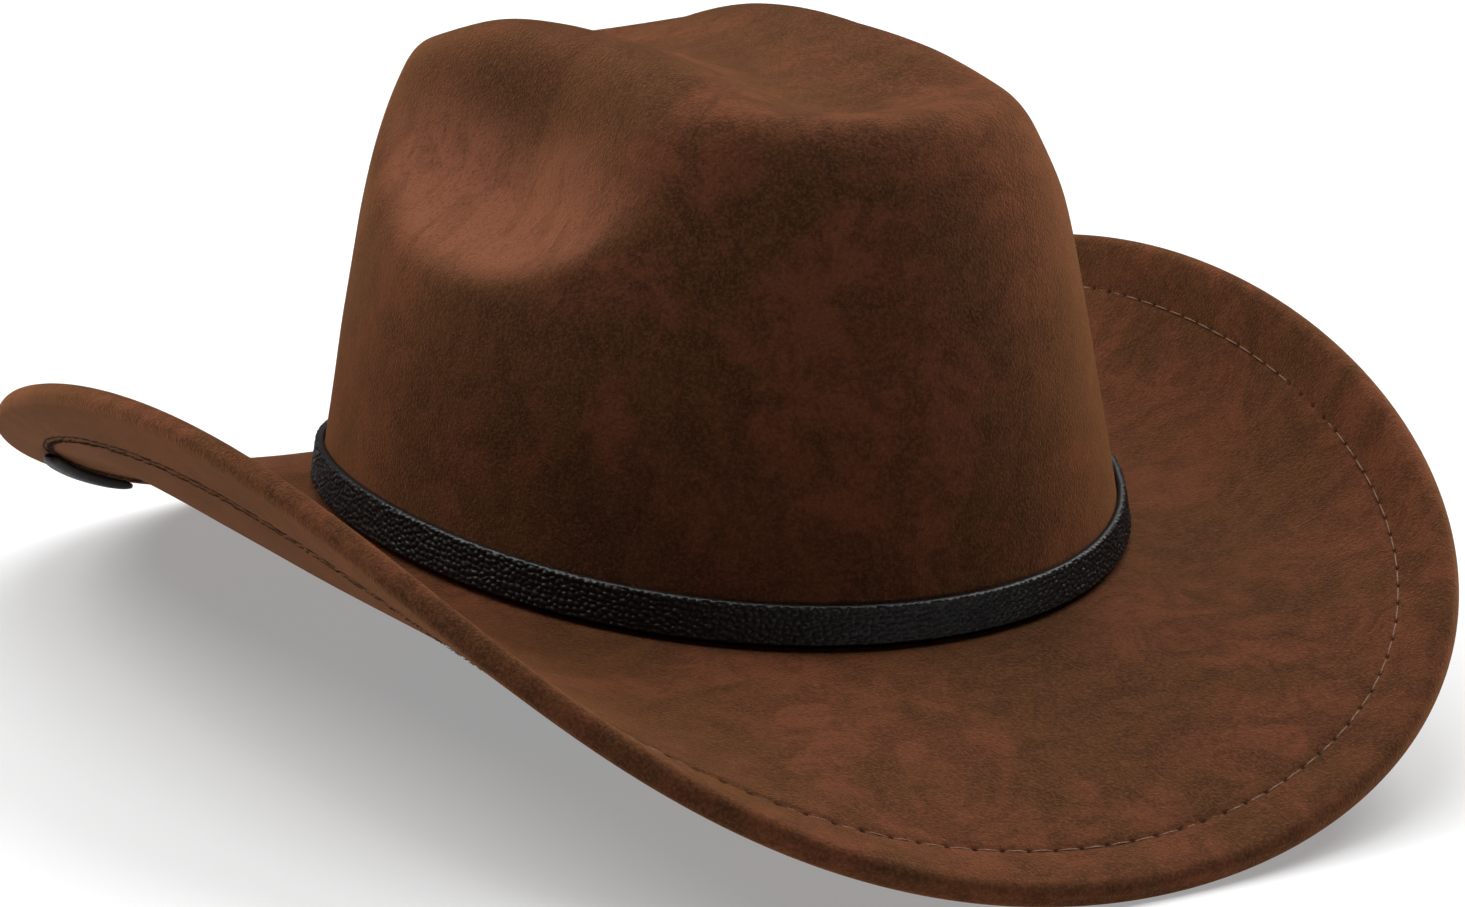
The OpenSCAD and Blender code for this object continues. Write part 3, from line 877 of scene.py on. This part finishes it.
def thread_run(name, starts, ends, ups, width, thick, arch, material):
    """Short lengths of thread, each an arched capsule from a start point to an end point."""
    steps, around = THREAD_STEPS, THREAD_SIDES
    blunt, taper, thinnest = 0.04, 0.35, 0.2
    u = np.linspace(0, 1, steps)
    bow = np.sin(np.pi * u)
    fat = np.clip(np.sin(np.pi * np.clip(u, blunt, 1 - blunt)) ** taper, thinnest, 1)
    turn = even_angles(around)[:, 0]
    verts = []
    faces = []
    for first, last, up in zip(starts, ends, ups):
        run = unit(last - first)
        across = np.cross(run, up)
        base = len(verts) * around
        for k in range(steps):
            middle = first + (last - first) * u[k] + up * (arch * bow[k])
            loop = (across[None] * (width / 2 * fat[k] * np.cos(turn))[:, None]
                    + up[None] * (thick / 2 * fat[k] * np.sin(turn))[:, None])
            verts.append(middle + loop)
        for k in range(steps - 1):
            for i in range(around):
                j = (i + 1) % around
                p, q = base + k * around, base + (k + 1) * around
                faces.append((p + i, q + i, q + j, p + j))
        faces.append(tuple(base + i for i in range(around)))
        faces.append(tuple(base + (steps - 1) * around + i for i in range(around))[::-1])
    return new_mesh(name, np.concatenate(verts), faces, material)


def make_stitches(name, side, height, node, material, width, stray):
    """One row of stitches; each lies a little deeper or higher in the nap than the next."""
    holes, _, _ = stitch_line()
    number = np.arange(len(holes))
    gap = np.roll(holes, -1) - holes
    gap[-1] += FULL_TURN
    start = holes + STITCH_FROM * gap
    end = holes + STITCH_TO * gap
    front = np.exp(-((holes - np.radians(FRONT_AT)) / FRONT_SPREAD) ** 2)
    sunk = SINK_CHANCE * hashed(number, 7, 3, 5) + FRONT_SINK * front
    level = side * (height - sunk)
    aside = STITCH_INSET + stray * (2 * hashed(number, 2, 9, 4) - 1)
    first = brim_pt(start, inset(start, aside), level)
    last = brim_pt(end, inset(end, np.roll(aside, -1)), level)
    ups = brim_up(holes, inset(holes, STITCH_INSET)) * side
    obj = thread_run(name, first, last, ups, width, STITCH_T, STITCH_ARCH, material)
    piece(obj, "hat", "brown_thread", node)


def make_hem_fibres():
    """Loose fibres along the raw edge of the turned-under hem; their dark under-thread colour is partly
    painted shade along that edge.
    """
    count = 1500
    width, thick, arch = 0.2, 0.16, 0.15
    root_from, root_spread = 0.6, 0.9
    shortest, length_spread = 0.5, 1.1
    sideways, brim_radius = 1.6, 160
    proud, sunk = 0.05, 0.2
    k = np.arange(count)
    place, root, size, side = [hashed(k, seed, 5, 8) for seed in (1, 2, 3, 4)]
    a = FULL_TURN * (k + place) / count
    reach_in = STITCH_INSET + root_from + root_spread * root
    length = shortest + length_spread * size
    sweep = (2 * side - 1) * sideways / brim_radius
    low, high = -HEM_FACE - proud, -BRIM_T / 2 - sunk
    first = brim_pt(a, inset(a, reach_in), np.full(count, low))
    last = brim_pt(a + sweep, inset(a + sweep, reach_in + length), np.full(count, high))
    ups = -brim_up(a, inset(a, reach_in))
    fibres = thread_run("brim_hem_fibres", first, last, ups, width, thick, arch, DARK_THREAD)
    piece(fibres, "hat", "suede")


# ---------------------------------------------------------------- band and sweatband

# pebble grain: length and height of the cells, seed, width of the folds between them, depth
COARSE_GRAIN = (1.75, 1.3, 21, 0.5, 0.46)
FINE_GRAIN = (0.8, 0.65, 31, 0.4, 0.12)

# the joint tab on the back: angles, thickness, rounding, and how much weaker its grain is
TAB_FROM, TAB_TO = math.radians(167), math.radians(193)
TAB_T, TAB_CORNER, TAB_GRAIN, TAB_GAP = 1.0, 0.6, 0.6, 0.1
BAND_CORNER = 0.8
# the strap's and the tab's inner faces have one row for every five of their outer faces
BACK_THIN = 5

# ribs of the sweatband, and the stitches of its sewing
SWEAT_RIBS, SWEAT_STITCHES, SWEAT_STITCH_Z = 560.0, 150, 1.4

# the strip under the brim: start and sweep in degrees, distance from the edge and its change,
# half width, half height and how far its middle lies below the hem
STRIP_AT, STRIP_SWEEP = -134, -22
STRIP_INSET, STRIP_DRIFT = 11, -4
STRIP_HALF_W, STRIP_HALF_H, STRIP_RAISED = 2.2, 1.4, 1.0


def strap_face(z, low, high, inner, thick, corner):
    """Outer face of a flat strap on edge: its offset from the crown at the heights z."""
    rise = np.clip(np.minimum(z - low, high - z), 0, corner)
    return inner + thick - corner * (1 - np.sqrt(1 - (1 - rise / corner) ** 2))


def pebbles(along, z):
    """Depth of the leather grain: rounded cells of two sizes with sharp folds between them."""
    relief = 0
    for length, height, seed, fold, depth in (COARSE_GRAIN, FINE_GRAIN):
        near, second = cells(along / length, z / height, seed)
        relief = relief + depth * (ramp(0.0, fold, second - near) - 1)
    return relief


def make_strap():
    """The pebbled strap round the crown; its ends meet at the back."""
    stations, rows = 1700, 34
    gap, fade = math.radians(0.35), 0.4
    low, high = BAND_LOW, BAND_LOW + BAND_H
    a = np.linspace(np.pi + gap, 3 * np.pi - gap, stations)[:, None]
    z = np.linspace(low, high, rows)[None, :]
    line = wall_pt(a[:, 0], np.array(BAND_H / 2), np.array(BAND_T))
    run = np.linalg.norm(np.diff(line, axis=0), axis=1)
    along = np.concatenate([[0], np.cumsum(run)])[:, None]
    soft = ramp(0, fade, np.minimum(z - low, high - z))
    face = strap_face(z, low, high, BAND_GAP, BAND_T, BAND_CORNER)
    outer = wall_pt(a, z, face + pebbles(along + 0 * z, z + 0 * along) * soft)
    z_in = z[:, ::-1][:, ::BACK_THIN]
    inner = wall_pt(a, z_in, np.full((stations, z_in.shape[1]), BAND_GAP))
    obj = loft("hatband_leather", np.concatenate([outer, inner], 1), BAND, closed=False)
    piece(obj, "hatband", "band_leather", "hatband_strap")


def make_tab():
    """The short tab that covers the ends of the strap."""
    stations, rows = 160, 30
    step_in, grain_shift, fade = 0.5, 50, 0.8
    face = BAND_GAP + BAND_T + TAB_GAP
    low, high = BAND_LOW + step_in, BAND_LOW + BAND_H - step_in
    a = np.linspace(TAB_FROM, TAB_TO, stations)[:, None]
    z = np.linspace(low, high, rows)[None, :]
    along = a * CROWN_L / 2
    soft = ramp(0, fade, np.minimum(z - low, high - z))
    relief = TAB_GRAIN * pebbles(along + 0 * z + grain_shift, z + 0 * along) * soft
    outer = wall_pt(a, z, strap_face(z, low, high, face, TAB_T, TAB_CORNER) + relief)
    z_in = z[:, ::-1][:, ::BACK_THIN]
    inner = wall_pt(a, z_in, np.full((stations, z_in.shape[1]), face))
    tab = loft("hatband_tab", np.concatenate([outer, inner], 1), BAND, closed=False)
    piece(tab, "hatband", "band_leather", "hatband_joint_tab")


def make_sweatband():
    """The ribbed band inside the head opening, with its sewing."""
    stations, rows = 480, 26
    low_fold, high_fold, fold_half = 0.3, 0.2, 1.2
    a = even_angles(stations)
    z = np.linspace(-SWEAT_TUCK, SWEAT_H, rows)
    fold = low_fold * np.exp(-((z - z[0]) / fold_half) ** 2)
    fold = fold + high_fold * np.exp(-((z[-1] - z) / fold_half) ** 2)
    depth = -SWEAT_FACE - SWEAT_T - fold
    inner = wall_pt(a, z[::-1][None, :], np.repeat(depth[::-1][None, :], stations, 0))
    outer = wall_pt(a, z[None, :], np.full((stations, rows), -SWEAT_FACE))
    obj = loft("sweatband_weave", np.concatenate([outer, inner], 1), SWEAT)
    ribs = np.repeat(np.arange(stations)[:, None] * SWEAT_RIBS / stations, 2 * rows, 1)
    vertex_value(obj, "round", ribs)
    piece(obj, "hat", "sweat_fabric", "sweatband")

    after_hole, before_next, proud, near_foot = 0.005, 0.034, 0.15, 0.02
    width, thick, arch = 0.5, 0.4, 0.15
    holes = even_angles(SWEAT_STITCHES)[:, 0]
    height = np.full(SWEAT_STITCHES, SWEAT_STITCH_Z)
    face = np.full(SWEAT_STITCHES, -SWEAT_FACE - SWEAT_T - proud)
    start = wall_pt(holes + after_hole, height, face)
    end = wall_pt(holes + before_next, height, face)
    ups = -crown_out(holes, np.full(SWEAT_STITCHES, near_foot))
    stitches = thread_run("sweatband_stitches", start, end, ups, width, thick, arch, GREY_THREAD)
    piece(stitches, "hat", "grey_thread", "sweatband_thread")


def make_strip():
    """The short black strip under the brim, round-ended, with a soft crown."""
    steps, around = 60, 24
    end_power, thinnest = 7, 0.003
    wide_power, tall_power = 0.6, 0.8
    u = np.linspace(0, 1, steps)[:, None]
    turn = even_angles(around).T
    a = np.radians(STRIP_AT + STRIP_SWEEP * u)
    middle = STRIP_INSET + STRIP_DRIFT * ramp(0, 1, u)
    ends = np.sqrt(np.clip(1 - np.abs(2 * u - 1) ** end_power, thinnest, 1))
    wide = STRIP_HALF_W * ends * np.sign(np.cos(turn)) * np.abs(np.cos(turn)) ** wide_power
    tall = STRIP_HALF_H * ends * np.sign(np.sin(turn)) * np.abs(np.sin(turn)) ** tall_power
    section = brim_pt(a, inset(a, middle + wide), -HEM_FACE - STRIP_RAISED + tall)
    obj = loft("underbrim_leather", section, STRIP, closed=False)
    piece(obj, "hat", "black_strip", "underbrim_strip")


def finish_frame_nodes():
    """Materials for the CAD nodes that stay: the hidden core, hoop, sleeve and tapes."""
    looks = {"brim_core": CORE, "brim_wire": STEEL, "wire_ferrule": BRASS,
             "crown_seam_tape": TAPE, "sweatband_back_tape": TAPE}
    for node, material in looks.items():
        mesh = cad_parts[node].data
        mesh.materials.clear()
        mesh.materials.append(material)


make_crown()
make_brim()
make_under_brim()
make_stitches("brim_stitches_top", 1, BRIM_T / 2 - TOP_DEPTH, "stitch_thread_top", BROWN_THREAD,
              TOP_THREAD_W, TOP_STRAY)
make_stitches("brim_stitches_under", -1, HEM_FACE - UNDER_DEPTH, "stitch_thread_under", DARK_THREAD,
              UNDER_THREAD_W, UNDER_STRAY)
make_hem_fibres()
make_strap()
make_tab()
make_sweatband()
make_strip()
finish_frame_nodes()
